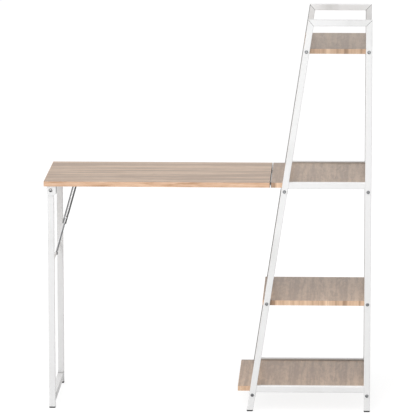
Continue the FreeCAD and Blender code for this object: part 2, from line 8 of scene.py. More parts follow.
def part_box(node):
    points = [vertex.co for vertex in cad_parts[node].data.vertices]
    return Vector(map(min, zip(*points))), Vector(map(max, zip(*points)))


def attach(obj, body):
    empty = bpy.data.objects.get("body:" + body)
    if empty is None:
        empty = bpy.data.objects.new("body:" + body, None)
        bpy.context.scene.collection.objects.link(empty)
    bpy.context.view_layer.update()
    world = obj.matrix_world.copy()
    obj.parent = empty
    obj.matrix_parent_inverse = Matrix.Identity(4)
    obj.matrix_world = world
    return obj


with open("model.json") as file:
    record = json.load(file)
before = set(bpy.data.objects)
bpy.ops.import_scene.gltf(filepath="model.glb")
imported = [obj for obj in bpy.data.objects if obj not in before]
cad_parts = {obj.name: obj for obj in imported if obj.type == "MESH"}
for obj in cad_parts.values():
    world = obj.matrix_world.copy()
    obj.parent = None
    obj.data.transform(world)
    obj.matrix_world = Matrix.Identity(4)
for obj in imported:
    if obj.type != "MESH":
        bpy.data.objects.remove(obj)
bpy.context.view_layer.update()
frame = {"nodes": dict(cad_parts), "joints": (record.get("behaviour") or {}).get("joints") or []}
nodes = frame["nodes"]
scene = bpy.context.scene


# Shelf ladders and depth rails: square steel tube under one white powder coat. The coat is satin, with
# the fine orange peel of baked powder, and a shade duller where it was handled. The back top rail has
# a whiter copy of the coat: painted light, for the back of the frame that the lamps light less.

coat_white = (0.79, 0.79, 0.79, 1.0)
coat_dull = (0.73, 0.73, 0.725, 1.0)
# Painted light: the whiter copy of the coat that the back top rail gets.
coat_painted_light = (0.88, 0.88, 0.88, 1.0)
coat_roughness = 0.3
coat_roughness_dull = 0.46
handled_per_metre = (8.0, 8.0, 4.0)
specks_per_metre = (240.0, 240.0, 240.0)
speck_strength = 0.5
peel_per_metre = (480.0, 480.0, 480.0)
peel_height = 0.00003


def put(tree, kind, inputs=None, **settings):
    """Add one shader node. An input takes a value or another node's output."""
    node = tree.nodes.new(kind)
    for name, value in settings.items():
        setattr(node, name, value)
    for name, value in (inputs or {}).items():
        if isinstance(value, bpy.types.NodeSocket):
            tree.links.new(value, node.inputs[name])
        else:
            node.inputs[name].default_value = value
    return node


def math_of(tree, operation, *values):
    """Arithmetic on values and outputs."""
    return put(tree, "ShaderNodeMath", dict(enumerate(values)), operation=operation).outputs[0]


def axes(tree, place):
    """A place's X, Y and Z, as three outputs."""
    return put(tree, "ShaderNodeSeparateXYZ", {0: place}).outputs


def soft_step(tree, value, low, high, to_low=0.0, to_high=1.0):
    """Value taken smoothly from the range low to high into another range."""
    step = put(tree, "ShaderNodeMapRange",
               {"Value": value, "From Min": low, "From Max": high, "To Min": to_low, "To Max": to_high},
               interpolation_type="SMOOTHSTEP")
    return step.outputs["Result"]


def grain_noise(tree, vector, per_metre, detail=3.0, roughness=0.55, distortion=0.0):
    """Noise with so many changes per metre along X, Y and Z; a low number draws the grain out."""
    scaled = put(tree, "ShaderNodeVectorMath", {0: vector, 1: per_metre}, operation="MULTIPLY").outputs[0]
    noise = put(tree, "ShaderNodeTexNoise",
                {"Vector": scaled, "Scale": 1.0, "Detail": detail, "Roughness": roughness,
                 "Distortion": distortion})
    return noise.outputs["Fac"]


def blended(tree, amount, first, second):
    """Two colours mixed by an amount."""
    mix = put(tree, "ShaderNodeMix", data_type="RGBA")
    for socket, value in ((mix.inputs[0], amount), (mix.inputs[6], first), (mix.inputs[7], second)):
        if isinstance(value, bpy.types.NodeSocket):
            tree.links.new(value, socket)
        else:
            socket.default_value = value
    return mix.outputs[2]


def shaded(tree, place, color, shades):
    """A colour with shades laid over it. A shade is the function that builds its mask, and its colour."""
    for mask, shade_color in shades:
        color = blended(tree, mask(tree, place), color, shade_color)
    return color


def shader_group(name, takes, gives):
    """A node group with named sockets, with its input and output nodes."""
    group = bpy.data.node_groups.new(name, "ShaderNodeTree")
    for socket, kind in takes.items():
        group.interface.new_socket(name=socket, in_out="INPUT", socket_type=kind)
    for socket, kind in gives.items():
        group.interface.new_socket(name=socket, in_out="OUTPUT", socket_type=kind)
    return group, put(group, "NodeGroupInput").outputs, put(group, "NodeGroupOutput").inputs


def empty_tree(owner):
    """The cleared shader nodes of a material or of the world."""
    owner.use_nodes = True
    owner.node_tree.nodes.clear()
    return owner.node_tree


def finish_material(name):
    """A material with a Principled shader, and the piece's own coordinates."""
    material = bpy.data.materials.new(name)
    tree = empty_tree(material)
    shader = put(tree, "ShaderNodeBsdfPrincipled")
    put(tree, "ShaderNodeOutputMaterial", {"Surface": shader.outputs[0]})
    return material, tree, shader, put(tree, "ShaderNodeTexCoord").outputs["Object"]


def surface(tree, shader, color, roughness, height, depth):
    """Send colour, roughness and relief to the shader."""
    tree.links.new(color, shader.inputs["Base Color"])
    tree.links.new(roughness, shader.inputs["Roughness"])
    relief = put(tree, "ShaderNodeBump", {"Height": height, "Distance": depth})
    tree.links.new(relief.outputs[0], shader.inputs["Normal"])


def give(names, material):
    """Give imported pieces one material."""
    for name in names:
        nodes[name].data.materials.clear()
        nodes[name].data.materials.append(material)


powder_coat, takes, gives = shader_group(
    "powder_coat", {"Vector": "NodeSocketVector"}, {"Dull": "NodeSocketFloat", "Peel": "NodeSocketFloat"})
handled = soft_step(powder_coat, grain_noise(powder_coat, takes["Vector"], handled_per_metre, 4.0), 0.5, 0.75)
specks = soft_step(powder_coat, grain_noise(powder_coat, takes["Vector"], specks_per_metre, 2.0),
                   0.62, 0.78, 0.0, speck_strength)
powder_coat.links.new(math_of(powder_coat, "MAXIMUM", handled, specks), gives["Dull"])
peel = grain_noise(powder_coat, takes["Vector"], peel_per_metre, 2.0)
powder_coat.links.new(peel, gives["Peel"])


def white_coat(name, *shades, white=coat_white):
    """Powder coat, with shades laid over it."""
    material, tree, shader, place = finish_material(name)
    coat = put(tree, "ShaderNodeGroup", {}, node_tree=powder_coat)
    tree.links.new(place, coat.inputs["Vector"])
    color = shaded(tree, place, blended(tree, coat.outputs["Dull"], white, coat_dull), shades)
    roughness = soft_step(tree, coat.outputs["Dull"], 0.0, 1.0, coat_roughness, coat_roughness_dull)
    surface(tree, shader, color, roughness, coat.outputs["Peel"], peel_height)
    return material


tube_coat = white_coat("white_powder_coat")
give(["front_slanted_leg", "front_upright", "front_top_rail", "left_desk_depth_rail", "right_desk_depth_rail",
      "left_bottom_depth_rail", "right_bottom_depth_rail"], tube_coat)
# The back top rail takes the whiter copy of the coat, as painted light.
give(["back_top_rail"], white_coat("white_coat_light_painted", white=coat_painted_light))


# Front rails under the desk shelf and the bottom shelf: their upper faces are painted whiter, a painted
# highlight for the light from above, which shows as a bright line above each.

# Painted highlight on the rails' upper faces.
coat_painted_top_light = (0.95, 0.95, 0.95, 1.0)
top_light_depth = 0.0012
top_light_solid = 1 / 3


def near_face(tree, value, face, depth, solid=0.0):
    """1 at a face, falling smoothly to 0 at a depth under it. The solid share of that depth stays at 1,
    and a negative depth goes up from a lower face."""
    return soft_step(tree, value, face - depth, face - depth * solid)


def lit_top_face(rail):
    """1 on a rail's upper face, where the highlight is painted."""
    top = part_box(rail)[1].z

    def mask(tree, place):
        return near_face(tree, axes(tree, place)["Z"], top, top_light_depth, top_light_solid)
    return mask


# These rails get a painted highlight on their upper faces.
for rail in ("front_desk_rail", "front_bottom_rail"):
    give([rail], white_coat("white_coat_" + rail, (lit_top_face(rail), coat_painted_top_light)))


# Back rails' lips: each back rail stands a little above the board in front of it, and that low inner
# face is painted grey: painted shade in the corner over the board.

# Painted shade for the lips' inner faces.
lip_painted_shade = (0.45, 0.415, 0.38, 1.0)
lip_inner_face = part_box("back_desk_rail")[0].y
lip_face_depth = 0.0009
lip_face_solid = 2 / 9
lip_below_board = 0.0005


def lip_shade(board):
    """1 on the inner face of the rail behind a board, above the board's top."""
    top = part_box(board)[1].z

    def mask(tree, place):
        at = axes(tree, place)
        inner = near_face(tree, at["Y"], lip_inner_face, -lip_face_depth, lip_face_solid)
        above = near_face(tree, at["Z"], top, lip_below_board)
        return math_of(tree, "MULTIPLY", inner, above)
    return mask


give(["back_desk_rail"], white_coat("white_coat_desk_lip", (lip_shade("desk_shelf"), lip_painted_shade)))
give(["back_bottom_rail"], white_coat("white_coat_bottom_lip", (lip_shade("bottom_shelf"), lip_painted_shade)))


# Back ladder's two legs: the left front corner is painted grey, a narrow line of painted shade that
# shows beside the front ladder.

# Painted shade along the back legs' left front corners, darker on the slanted leg.
corner_painted_shade = (0.33, 0.33, 0.33, 1.0)
upright_painted_shade = (0.55, 0.55, 0.55, 1.0)
corner_reach = 0.0032
corner_solid = 0.6


def corner_shade(leg, lean):
    """1 along a leg's left front corner; lean is how far the leg moves in X per metre of height."""
    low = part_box(leg)[0]

    def mask(tree, place):
        at = axes(tree, place)
        risen = math_of(tree, "MULTIPLY", math_of(tree, "SUBTRACT", at["Z"], low.z), lean)
        off = math_of(tree, "SUBTRACT", math_of(tree, "SUBTRACT", at["X"], low.x), risen)
        edge = near_face(tree, off, 0.0, -corner_reach, corner_solid)
        front = near_face(tree, at["Y"], low.y, -corner_reach, corner_solid)
        return math_of(tree, "MULTIPLY", edge, front)
    return mask


leg_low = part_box("back_slanted_leg")[0]
leg_lean = (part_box("back_top_rail")[0].x - leg_low.x) / (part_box("back_top_rail")[1].z - leg_low.z)
slanted_corner = corner_shade("back_slanted_leg", leg_lean)
upright_corner = corner_shade("back_upright", 0.0)
give(["back_slanted_leg"], white_coat("white_coat_slanted_corner", (slanted_corner, corner_painted_shade)))
give(["back_upright"], white_coat("white_coat_upright_corner", (upright_corner, upright_painted_shade)))


# Ground welds on the ladders' two top mitres: a line across the front and the back face of each
# corner, hardly proud, where the coat is thin and grey.

weld_width = 0.0016
weld_proud = 0.00015
weld_sunk = 0.0004
weld_share_of_mitre = 0.94
weld_grey = (0.33, 0.33, 0.33, 1.0)
weld_light = (0.46, 0.46, 0.46, 1.0)
weld_roughness = 0.45
weld_roughness_grit = 0.6
grit_per_metre = (600.0, 600.0, 600.0)
grit_height = 0.00005


def clear_selection():
    bpy.ops.object.select_all(action="DESELECT")


def keep_piece(name, piece, material, body):
    """Name a finished piece, give it its material and let it ride."""
    piece.name = name
    piece.data.name = name
    piece.data.materials.clear()
    piece.data.materials.append(material)
    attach(piece, body)


def weld_line_material():
    """Thin coat over a ground weld."""
    material, tree, shader, place = finish_material("ground_weld")
    grit = grain_noise(tree, place, grit_per_metre, 3.0)
    color = blended(tree, soft_step(tree, grit, 0.4, 0.65), weld_grey, weld_light)
    roughness = soft_step(tree, grit, 0.3, 0.7, weld_roughness, weld_roughness_grit)
    surface(tree, shader, color, roughness, grit, grit_height)
    return material


ground_weld = weld_line_material()


def mitre_line(name, outer, inner, face_y, out):
    """A flat ridge from the outer to the inner corner of a mitre; out is -1 in front, 1 behind."""
    clear_selection()
    run = inner - outer
    bpy.ops.mesh.primitive_cube_add(size=1.0)
    ridge = bpy.context.object
    ridge.scale = (run.length * weld_share_of_mitre, weld_sunk + weld_proud, weld_width)
    bpy.ops.object.transform_apply(location=False, rotation=False, scale=True)
    bpy.ops.object.mode_set(mode="EDIT")
    bpy.ops.mesh.select_all(action="SELECT")
    bpy.ops.mesh.bevel(offset=weld_proud, segments=2, affect="EDGES")
    bpy.ops.object.mode_set(mode="OBJECT")
    turn = Matrix.Rotation(-math.atan2(run.z, run.x), 4, "Y")
    middle = (outer + inner) / 2
    shift = (weld_proud - weld_sunk) / 2
    ridge.data.transform(Matrix.Translation((middle.x, face_y + out * shift, middle.z)) @ turn)
    ridge.data.update()
    keep_piece(name, ridge, ground_weld, "shelf_unit")


for side in ("front", "back"):
    rail_low, rail_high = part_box(side + "_top_rail")
    leg_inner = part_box(side + "_slanted_leg")[1].x
    upright_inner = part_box(side + "_upright")[0].x
    corners = {
        "left": (Vector((rail_low.x, 0, rail_high.z)), Vector((leg_inner, 0, rail_low.z))),
        "right": (Vector((rail_high.x, 0, rail_high.z)), Vector((upright_inner, 0, rail_low.z))),
    }
    for hand, (outer, inner) in corners.items():
        mitre_line(f"{side}_{hand}_mitre_front", outer, inner, rail_low.y, -1)
        mitre_line(f"{side}_{hand}_mitre_back", outer, inner, rail_high.y, 1)


# Fillet welds where the ladders' rails meet the legs, and inside the top corners: short rippled beads
# under the same white coat, on the upper and lower side of each rail.

bead_radius = 0.0016
bead_end_share = 0.5
bead_ripple = 0.12
bead_steps = 11
bead_sides = 10
bead_short_of_tube = 0.004


def rippled_bead(length):
    """A bead along Y, extruded ring by ring with each ring drawn in or let out."""
    clear_selection()
    rings = 2 * bead_steps
    step = length / rings
    width = bead_radius * bead_end_share
    bpy.ops.mesh.primitive_circle_add(vertices=bead_sides, radius=width, fill_type="NGON",
                                      location=(0.0, -length / 2, 0.0), rotation=(math.pi / 2, 0.0, 0.0))
    bead = bpy.context.object
    bpy.ops.object.transform_apply(location=True, rotation=True, scale=True)
    bpy.ops.object.mode_set(mode="EDIT")
    bpy.ops.mesh.select_all(action="SELECT")
    for ring in range(rings):
        last = ring == rings - 1
        next_width = bead_radius * (bead_end_share if last else 1.0 - bead_ripple * (ring % 2))
        bpy.ops.mesh.extrude_region_move(TRANSFORM_OT_translate={"value": (0.0, step, 0.0)})
        scale = next_width / width
        middle = (0.0, -length / 2 + step * (ring + 1), 0.0)
        bpy.ops.transform.resize(value=(scale, 1.0, scale), center_override=middle)
        width = next_width
    bpy.ops.mesh.select_all(action="SELECT")
    bpy.ops.mesh.normals_make_consistent(inside=False)
    bpy.ops.object.mode_set(mode="OBJECT")
    bpy.ops.object.shade_smooth()
    return bead


def bead_at(name, pattern, place, body, turn=None):
    """A copy of the bead with its own mesh, laid in a corner."""
    bead = pattern.copy()
    bead.data = pattern.data.copy()
    scene.collection.objects.link(bead)
    bead.data.transform(Matrix.Translation(place) @ (turn or Matrix.Identity(4)))
    keep_piece(name, bead, tube_coat, body)


tube_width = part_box("front_upright")[1].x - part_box("front_upright")[0].x
bead = rippled_bead(tube_width - bead_short_of_tube)
for side in ("front", "back"):
    middle_y = (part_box(side + "_upright")[0].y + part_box(side + "_upright")[1].y) / 2
    upright_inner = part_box(side + "_upright")[0].x
    leg_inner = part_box(side + "_slanted_leg")[1].x
    inside_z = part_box(side + "_top_rail")[0].z
    for rail in ("desk", "bottom"):
        rail_low, rail_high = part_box(f"{side}_{rail}_rail")
        leg_slope = (leg_inner - rail_low.x) / (inside_z - rail_low.z)
        left_top = rail_low.x + leg_slope * (rail_high.z - rail_low.z)
        rail_corners = {
            "right_top": (upright_inner, middle_y, rail_high.z),
            "right_low": (upright_inner, middle_y, rail_low.z),
            "left_top": (left_top, middle_y, rail_high.z),
            "left_low": (rail_low.x, middle_y, rail_low.z),
        }
        for corner, place in rail_corners.items():
            bead_at(f"{side}_{rail}_weld_{corner}", bead, place, "shelf_unit")
    bead_at(f"{side}_top_weld_right", bead, (upright_inner, middle_y, inside_z), "shelf_unit")
    bead_at(f"{side}_top_weld_left", bead, (leg_inner, middle_y, inside_z), "shelf_unit")


# Ladder feet and leg feet: black moulded plugs, pressed into the tubes' lower ends. The plastic has a
# fine spark-eroded grain and is rubbed lighter where the desk was slid.

foot_black = (0.022, 0.022, 0.023, 1.0)
foot_rubbed = (0.038, 0.038, 0.038, 1.0)
plastic_roughness = 0.5
plastic_roughness_rubbed = 0.68
rubs_per_metre = (90.0, 90.0, 160.0)
spark_per_metre = (1400.0, 1400.0, 1400.0)
spark_height = 0.00004


def moulded_plastic(name, color, rubbed):
    """Moulded plastic between a fresh and a rubbed tone."""
    material, tree, shader, place = finish_material(name)
    rub = soft_step(tree, grain_noise(tree, place, rubs_per_metre, 4.0), 0.5, 0.78)
    spark = grain_noise(tree, place, spark_per_metre, 2.0)
    roughness = soft_step(tree, rub, 0.0, 1.0, plastic_roughness, plastic_roughness_rubbed)
    surface(tree, shader, blended(tree, rub, color, rubbed), roughness, spark, spark_height)
    return material


give(["ladder_feet", "leg_feet"], moulded_plastic("black_foot_plastic", foot_black, foot_rubbed))


# Boards: particle board faced with a printed melamine sheet like limed oak, with streaks, arches and
# fine pores. The print runs along the desktop, and from front to back on the four shelves, all cut
# from the same place of it. Painted shade darkens the back of the desk shelf and the bottom shelf.

oak_dark = (0.325, 0.212, 0.138, 1.0)
oak_middle = (0.418, 0.285, 0.190, 1.0)
oak_light = (0.520, 0.365, 0.250, 1.0)
oak_roughness = 0.36
oak_roughness_pores = 0.55
oak_relief = 0.00006
cloud_share = 0.35
fleck_share = 0.4
fibre_share = 1.3
pore_share = 0.75
middle_tone = 0.5
plank_half = 0.105
heart_wander = 0.05
ring_wander = 5.0
arches_per_metre = 6.0
arch_tightness = 620.0
# Painted shade along a board's back edge, under the back rail.
back_edge_painted_shade = (0.19, 0.15, 0.12, 1.0)
back_shade_reach = 0.016

oak_print, takes, gives = shader_group(
    "oak_print",
    {"Along the grain": "NodeSocketVector", "Dark": "NodeSocketColor", "Middle": "NodeSocketColor",
     "Light": "NodeSocketColor", "Broad": "NodeSocketFloat", "Lines": "NodeSocketFloat",
     "Streaks": "NodeSocketFloat", "Arches": "NodeSocketFloat"},
    {"Color": "NodeSocketColor", "Relief": "NodeSocketFloat", "Pores": "NodeSocketFloat"})
along = takes["Along the grain"]


def print_layer(per_metre, detail, roughness, distortion, low=0.3, high=0.7):
    """One layer of the print, lighter above 0 and darker below it."""
    noise = grain_noise(oak_print, along, per_metre, detail, roughness, distortion)
    return soft_step(oak_print, noise, low, high, -0.5, 0.5)


def print_math(operation, *values):
    """Arithmetic inside the print."""
    return math_of(oak_print, operation, *values)


# Each layer has its changes per metre along and across the grain, its detail, roughness and distortion.
broad = print_layer((0.9, 17.0, 17.0), 3.0, 0.55, 0.3, 0.32, 0.68)
lines = print_layer((1.6, 34.0, 34.0), 2.0, 0.62, 0.2)
streaks = print_layer((2.4, 76.0, 76.0), 5.0, 0.62, 0.2)
clouds = print_layer((7.0, 26.0, 26.0), 4.0, 0.6, 0.6)
flecks = print_layer((24.0, 110.0, 110.0), 2.0, 0.5, 0.4)
fibres = grain_noise(oak_print, along, (16.0, 520.0, 520.0), 3.0, 0.6)
pores = soft_step(oak_print, grain_noise(oak_print, along, (30.0, 680.0, 680.0), 1.0, 0.4), 0.62, 0.76)

# Arches: rings that bow round the heart of each plank, and wander.
wander = grain_noise(oak_print, along, (3.5, 9.0, 9.0), 2.0, 0.5)
at = axes(oak_print, along)
from_heart = print_math("ADD", at["Y"], print_math("MULTIPLY", wander, heart_wander))
from_heart = print_math("PINGPONG", from_heart, plank_half)
bow = print_math("MULTIPLY", print_math("POWER", from_heart, 2.0), arch_tightness)
ring = print_math("ADD", print_math("MULTIPLY", at["X"], arches_per_metre), bow)
ring = print_math("ADD", ring, print_math("MULTIPLY", wander, ring_wander))
ring_edge = soft_step(oak_print, print_math("FRACT", ring), 0.35, 1.0)
heart = soft_step(oak_print, from_heart, plank_half * 0.9, plank_half * 0.25)
arch = print_math("MULTIPLY", print_math("MULTIPLY", ring_edge, heart), takes["Arches"])

# The tone: the layers added up in their shares, less the arches, with the pores over it.
shares = ((lines, takes["Lines"]), (streaks, takes["Streaks"]), (clouds, cloud_share), (flecks, fleck_share),
          (print_math("SUBTRACT", fibres, 0.5), fibre_share))
tone = print_math("MULTIPLY", broad, takes["Broad"])
for layer, share in shares:
    tone = print_math("ADD", tone, print_math("MULTIPLY", layer, share))
tone = print_math("SUBTRACT", print_math("ADD", tone, middle_tone), arch)
low = blended(oak_print, soft_step(oak_print, tone, 0.0, 0.5), takes["Dark"], takes["Middle"])
color = blended(oak_print, soft_step(oak_print, tone, 0.45, 1.0), low, takes["Light"])
pored = blended(oak_print, print_math("MULTIPLY", pores, pore_share), color, takes["Dark"])
oak_print.links.new(pored, gives["Color"])
oak_print.links.new(print_math("SUBTRACT", fibres, pores), gives["Relief"])
oak_print.links.new(pores, gives["Pores"])


def oak_board(name, turn, cut, figure, brightness, shade_to=None):
    """Oak melamine, its grain laid at an angle and moved on the print by cut. Figure is the strength of
    its broad bands, lines, streaks and arches; painted shade darkens a given back edge."""
    material, tree, shader, place = finish_material(name)
    laid = put(tree, "ShaderNodeMapping",
               {"Vector": place, "Location": cut, "Rotation": (0.0, 0.0, turn), "Scale": (1.0, 1.0, 0.0)})
    oak = put(tree, "ShaderNodeGroup", {}, node_tree=oak_print)
    tree.links.new(laid.outputs[0], oak.inputs["Along the grain"])
    for tone, color in (("Dark", oak_dark), ("Middle", oak_middle), ("Light", oak_light)):
        oak.inputs[tone].default_value = [channel * brightness for channel in color[:3]] + [1.0]
    for feature, strength in zip(("Broad", "Lines", "Streaks", "Arches"), figure):
        oak.inputs[feature].default_value = strength
    color = oak.outputs["Color"]
    if shade_to is not None:
        back_shade_mask = near_face(tree, axes(tree, place)["Y"], shade_to, back_shade_reach)
        color = blended(tree, back_shade_mask, color, back_edge_painted_shade)
    roughness = soft_step(tree, oak.outputs["Pores"], 0.0, 1.0, oak_roughness, oak_roughness_pores)
    surface(tree, shader, color, roughness, oak.outputs["Relief"], oak_relief)
    return material


front_to_back = math.pi / 2
desktop_cut = (1.67, 1.298, 0.0)
shelf_cut = (3.19, 0.828, 0.0)
desktop_figure = (0.8, 1.5, 0.5, 0.18)
shelf_figure = (0.55, 0.0, 0.85, 0.3)
board_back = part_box("bottom_shelf")[1].y


def shelf_board(name, brightness, shade_to=None):
    """A shelf's board, cut from the print as all four are."""
    return oak_board(name, front_to_back, shelf_cut, shelf_figure, brightness, shade_to)


# The desk shelf's and the top shelf's sheets are painted deeper in tone than the others: painted
# shade, set for the light each shelf gets.
give(["desktop"], oak_board("oak_desktop", 0.0, desktop_cut, desktop_figure, brightness=1.05))
give(["middle_shelf"], shelf_board("oak_shelf", brightness=0.97))
# The bottom shelf and the desk shelf get painted shade along their back edges.
give(["bottom_shelf"], shelf_board("oak_bottom_shelf", brightness=0.99, shade_to=board_back))
give(["desk_shelf"], shelf_board("oak_desk_shelf", brightness=0.84, shade_to=board_back))
give(["top_shelf"], shelf_board("oak_top_shelf", brightness=0.61))


# Edge bands: a strip of 1 mm plastic glued round every board. On the desktop its print runs along the
# strip; on the shelves it is cut across, so that the front shows upright bars. The two ends that meet
# at the seam are painted dark: painted shadow in the seam's gap. The top shelf's band has a darker
# copy of the bars' tones, as painted shade.

band_dark = (0.467, 0.263, 0.144, 1.0)
band_middle = (0.660, 0.418, 0.270, 1.0)
band_light = (0.775, 0.530, 0.362, 1.0)
bar_dark = (0.35, 0.215, 0.135, 1.0)
bar_middle = (0.64, 0.43, 0.285, 1.0)
bar_light = (0.82, 0.60, 0.42, 1.0)
# Painted shade: a darker copy of the bars' tones for the top shelf's band.
top_band_shaded_dark = (0.29, 0.18, 0.11, 1.0)
top_band_shaded_middle = (0.53, 0.355, 0.235, 1.0)
top_band_shaded_light = (0.70, 0.51, 0.355, 1.0)
fine_share = 0.55
band_roughness = 0.4
band_roughness_worn = 0.56
# Painted shadow on the band ends that face the seam's gap.
seam_painted_shadow = (0.05, 0.043, 0.038, 1.0)
seam_reach = 0.0011
seam_solid = 0.6


def edge_band(name, tones, broad_grain, fine_grain, cut, seam_x=None):
    """Printed band with three tones; cut moves it on the print, and seam_x is where its painted shadow is."""
    material, tree, shader, place = finish_material(name)
    laid = put(tree, "ShaderNodeVectorMath", {0: place, 1: cut}, operation="ADD").outputs[0]
    broad = grain_noise(tree, laid, broad_grain, 4.0, 0.62, 0.2)
    fine = grain_noise(tree, laid, fine_grain, 4.0, 0.6)
    low = blended(tree, soft_step(tree, broad, 0.34, 0.5), tones[0], tones[1])
    high = blended(tree, soft_step(tree, broad, 0.48, 0.66), low, tones[2])
    color = blended(tree, soft_step(tree, fine, 0.54, 0.74, 0.0, fine_share), high, tones[0])
    if seam_x is not None:
        off = math_of(tree, "ABSOLUTE", math_of(tree, "SUBTRACT", axes(tree, place)["X"], seam_x))
        color = blended(tree, near_face(tree, off, 0.0, -seam_reach, seam_solid), color, seam_painted_shadow)
    roughness = soft_step(tree, fine, 0.3, 0.8, band_roughness, band_roughness_worn)
    surface(tree, shader, color, roughness, fine, oak_relief)
    return material


band_grain = (11.0, 24.0, 150.0)
band_lines = (26.0, 80.0, 520.0)
bar_grain = (34.0, 34.0, 0.0)
bar_lines = (230.0, 230.0, 9.0)
band_cut = (4.531, 0.0, 1.906)
bar_cut = (1.573, 0.0, 0.0)
desktop_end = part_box("desktop_edge_band")[1].x
desk_shelf_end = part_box("desk_shelf_edge_band")[0].x


def shelf_band(name, tones, seam_x=None):
    """A shelf's band, with its upright bars."""
    return edge_band(name, tones, bar_grain, bar_lines, bar_cut, seam_x)


band_tones = (band_dark, band_middle, band_light)
bar_tones = (bar_dark, bar_middle, bar_light)
top_band_shaded_tones = (top_band_shaded_dark, top_band_shaded_middle, top_band_shaded_light)
give(["desktop_edge_band"],
     edge_band("band_desktop", band_tones, band_grain, band_lines, band_cut, desktop_end))
give(["desk_shelf_edge_band"], shelf_band("band_desk_shelf", bar_tones, desk_shelf_end))
give(["middle_shelf_edge_band", "bottom_shelf_edge_band"], shelf_band("band_shelf", bar_tones))
# The top shelf's band takes the darker copy of the bars' tones, as painted shade.
give(["top_shelf_edge_band"], shelf_band("band_top_shelf", top_band_shaded_tones))


# Frame bolts: button heads with a dark passivated finish, clouded in two greys and finely scratched.
# Inserts, board screws and nuts are zinc-plated steel, left bright.

bolt_grey = (0.235, 0.24, 0.245, 1.0)
bolt_dark = (0.13, 0.13, 0.135, 1.0)
zinc_bright = (0.60, 0.61, 0.62, 1.0)
zinc_dull = (0.42, 0.43, 0.44, 1.0)
patches_per_metre = (80.0, 80.0, 80.0)
scratches_per_metre = (110.0, 110.0, 1500.0)
scratch_height = 0.00002

plated_steel, takes, gives = shader_group(
    "plated_steel", {"Vector": "NodeSocketVector"},
    {"Patches": "NodeSocketFloat", "Scratches": "NodeSocketFloat", "Relief": "NodeSocketFloat"})
patches = grain_noise(plated_steel, takes["Vector"], patches_per_metre, 4.0, 0.6)
patches = soft_step(plated_steel, patches, 0.35, 0.7)
scratches = grain_noise(plated_steel, takes["Vector"], scratches_per_metre, 2.0)
scratches = soft_step(plated_steel, scratches, 0.58, 0.76)
plated_steel.links.new(patches, gives["Patches"])
plated_steel.links.new(scratches, gives["Scratches"])
plated_steel.links.new(math_of(plated_steel, "SUBTRACT", patches, scratches), gives["Relief"])


def plated(name, bright, dull, *shades, smooth=0.3, scratched=0.5):
    """Plated steel, with shades laid over it; smooth and scratched are its roughness."""
    material, tree, shader, place = finish_material(name)
    wear = put(tree, "ShaderNodeGroup", {}, node_tree=plated_steel)
    tree.links.new(place, wear.inputs["Vector"])
    color = shaded(tree, place, blended(tree, wear.outputs["Patches"], bright, dull), shades)
    shader.inputs["Metallic"].default_value = 1.0
    roughness = soft_step(tree, wear.outputs["Scratches"], 0.0, 1.0, smooth, scratched)
    surface(tree, shader, color, roughness, wear.outputs["Relief"], scratch_height)
    return material


give(["front_frame_bolts", "back_frame_bolts"], plated("dark_bolt_steel", bolt_grey, bolt_dark))
bright_zinc = plated("bright_zinc", zinc_bright, zinc_dull, smooth=0.28)
give(["shelf_threaded_inserts", "shelf_board_screws", "leg_pivot_nuts"], bright_zinc)


# Folding leg frame: two white tubes and the cross rail welded between them near the floor, with white
# caps in the tubes' upper ends, and the rod that the stay's eye turns on. The rail's right face carries
# painted shade, and so do its two ends, where they meet the legs.

cap_white = (0.74, 0.74, 0.735, 1.0)
cap_rubbed = (0.64, 0.64, 0.635, 1.0)
# Painted shade for the cross rail's right face.
right_face_painted_shade = (0.46, 0.46, 0.46, 1.0)
right_shade_depth = 0.0016
right_shade_solid = 0.4
# Painted shade for the cross rail's ends, where they meet the legs.
rail_end_painted_shade = (0.32, 0.32, 0.32, 1.0)
end_shade_length = 0.04
end_shade_solid = 0.2
rail_low, rail_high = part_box("leg_cross_rail")
rail_middle_x = (rail_low.x + rail_high.x) / 2


def right_face_shade(tree, place):
    """1 on the cross rail's right face, where shade is painted."""
    return near_face(tree, axes(tree, place)["X"], rail_high.x, right_shade_depth, right_shade_solid)


def rail_end_shade(tree, place):
    """1 at the cross rail's two ends, where shade is painted next to the legs."""
    from_middle = math_of(tree, "ABSOLUTE", axes(tree, place)["Y"])
    return near_face(tree, from_middle, rail_high.y, end_shade_length, end_shade_solid)


give(["front_leg_tube", "back_leg_tube", "stay_rod"], tube_coat)
give(["leg_cross_rail"], white_coat("white_coat_right_shaded", (right_face_shade, right_face_painted_shade),
                                    (rail_end_shade, rail_end_painted_shade)))
give(["leg_top_caps"], moulded_plastic("white_cap_plastic", cap_white, cap_rubbed))

across = Matrix.Rotation(math.pi / 2, 4, "Z")
for end, y in (("front", rail_low.y), ("back", rail_high.y)):
    bead_at(f"leg_rail_weld_{end}_top", bead, (rail_middle_x, y, rail_high.z), "leg_frame", across)
    bead_at(f"leg_rail_weld_{end}_low", bead, (rail_middle_x, y, rail_low.z), "leg_frame", across)
bpy.data.objects.remove(bead)


# Leg brackets: bent steel sheet under the same coat, with painted shade on the sheet's edge at the
# right, and screwed up into the desktop. The pivot bolts' domed heads carry a painted highlight above
# and painted shade below.

# Painted shade for the brackets' right edge.
bracket_edge_painted_shade = (0.22, 0.22, 0.22, 1.0)
bracket_shade_depth = 0.0012
bracket_shade_solid = 0.4
# Painted highlight on the pivot heads' upper part; the dark below it is painted shade.
crown_painted_highlight = (0.42, 0.42, 0.425, 1.0)
crown_fade_half = 0.0022
pivot_painted_shade = (0.06, 0.06, 0.06, 1.0)
bracket_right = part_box("front_leg_bracket")[1].x
head_low, head_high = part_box("leg_pivot_bolts")
head_middle = (head_low.z + head_high.z) / 2


def bracket_edge_shade(tree, place):
    """1 on the sheet's edge at a bracket's right, where shade is painted."""
    return near_face(tree, axes(tree, place)["X"], bracket_right, bracket_shade_depth, bracket_shade_solid)


